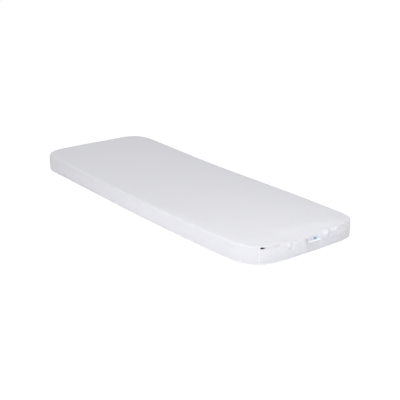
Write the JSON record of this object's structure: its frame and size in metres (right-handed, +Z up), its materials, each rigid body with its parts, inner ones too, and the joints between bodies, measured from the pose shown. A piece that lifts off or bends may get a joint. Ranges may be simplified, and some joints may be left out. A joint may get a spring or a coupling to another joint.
{
  "type": "pressure relief mattress",
  "caption": "Thin trolley-size foam mattress with rounded corners, a wipe-clean cover zipped at the foot end and zoned pressure relief foam inside.",
  "frame": {"origin": "centre of the underside", "axes": "+X along the mattress to the foot end, +Y across it to the side away from the zip's closed end, +Z up"},
  "size_m": [1.9679, 0.7, 0.09],
  "materials": {
    "cover_fabric": "satin",
    "base_fabric": "satin",
    "seam_tape": "satin",
    "zip_tape": "matte",
    "zip_teeth": "satin",
    "slider_metal": "satin",
    "label_fabric": "satin",
    "sleeve_knit": "matte",
    "foam_base": "matte",
    "foam_rail": "matte",
    "foam_zone": "matte",
    "foam_zone_soft": "matte",
    "foam_topper": "matte"
  },
  "bodies": {
    "mattress": {"cover_top": "cover_fabric", "border_main": "cover_fabric", "border_foot": "cover_fabric", "base_panel": "base_fabric", "corner_seam_near": "seam_tape", "corner_seam_far": "seam_tape", "zip_tape_upper": "zip_tape", "zip_tape_lower": "zip_tape", "zip_teeth_upper": "zip_teeth", "zip_teeth_lower": "zip_teeth", "zip_end_stops": "zip_teeth", "zip_flap": "cover_fabric", "inner_sleeve": "sleeve_knit", "foam_base": "foam_base", "rail_head": "foam_rail", "rail_foot": "foam_rail", "rail_near": "foam_rail", "rail_far": "foam_rail", "foam_topper": "foam_topper", "zone_head": "foam_zone", "zone_torso": "foam_zone", "zone_legs": "foam_zone", "zone_heels": "foam_zone_soft"},
    "zip_slider": {"zip_slider": "slider_metal"},
    "zip_pull": {"zip_pull": "slider_metal"},
    "care_label": {"care_label": "label_fabric"}
  },
  "joints": [
    {"name": "slider_travel", "type": "hinge", "parent": "mattress", "child": "zip_slider", "pos_m": [0.815, -0.19, 0.0815], "axis": [0, 0, 1], "range_deg": [0, 27], "deforming": ["zip_teeth_upper", "zip_teeth_lower"]},
    {"name": "pull_swing", "type": "hinge", "parent": "zip_slider", "child": "zip_pull", "pos_m": [0.95662, -0.26886, 0.0815], "axis": [0, 0, -1], "range_deg": [0, 165]},
    {"name": "label_fold", "type": "hinge", "parent": "mattress", "child": "care_label", "pos_m": [0.97635, 0.021, 0.0725], "axis": [0, 1, 0], "range_deg": [-128, 44]}
  ]
}
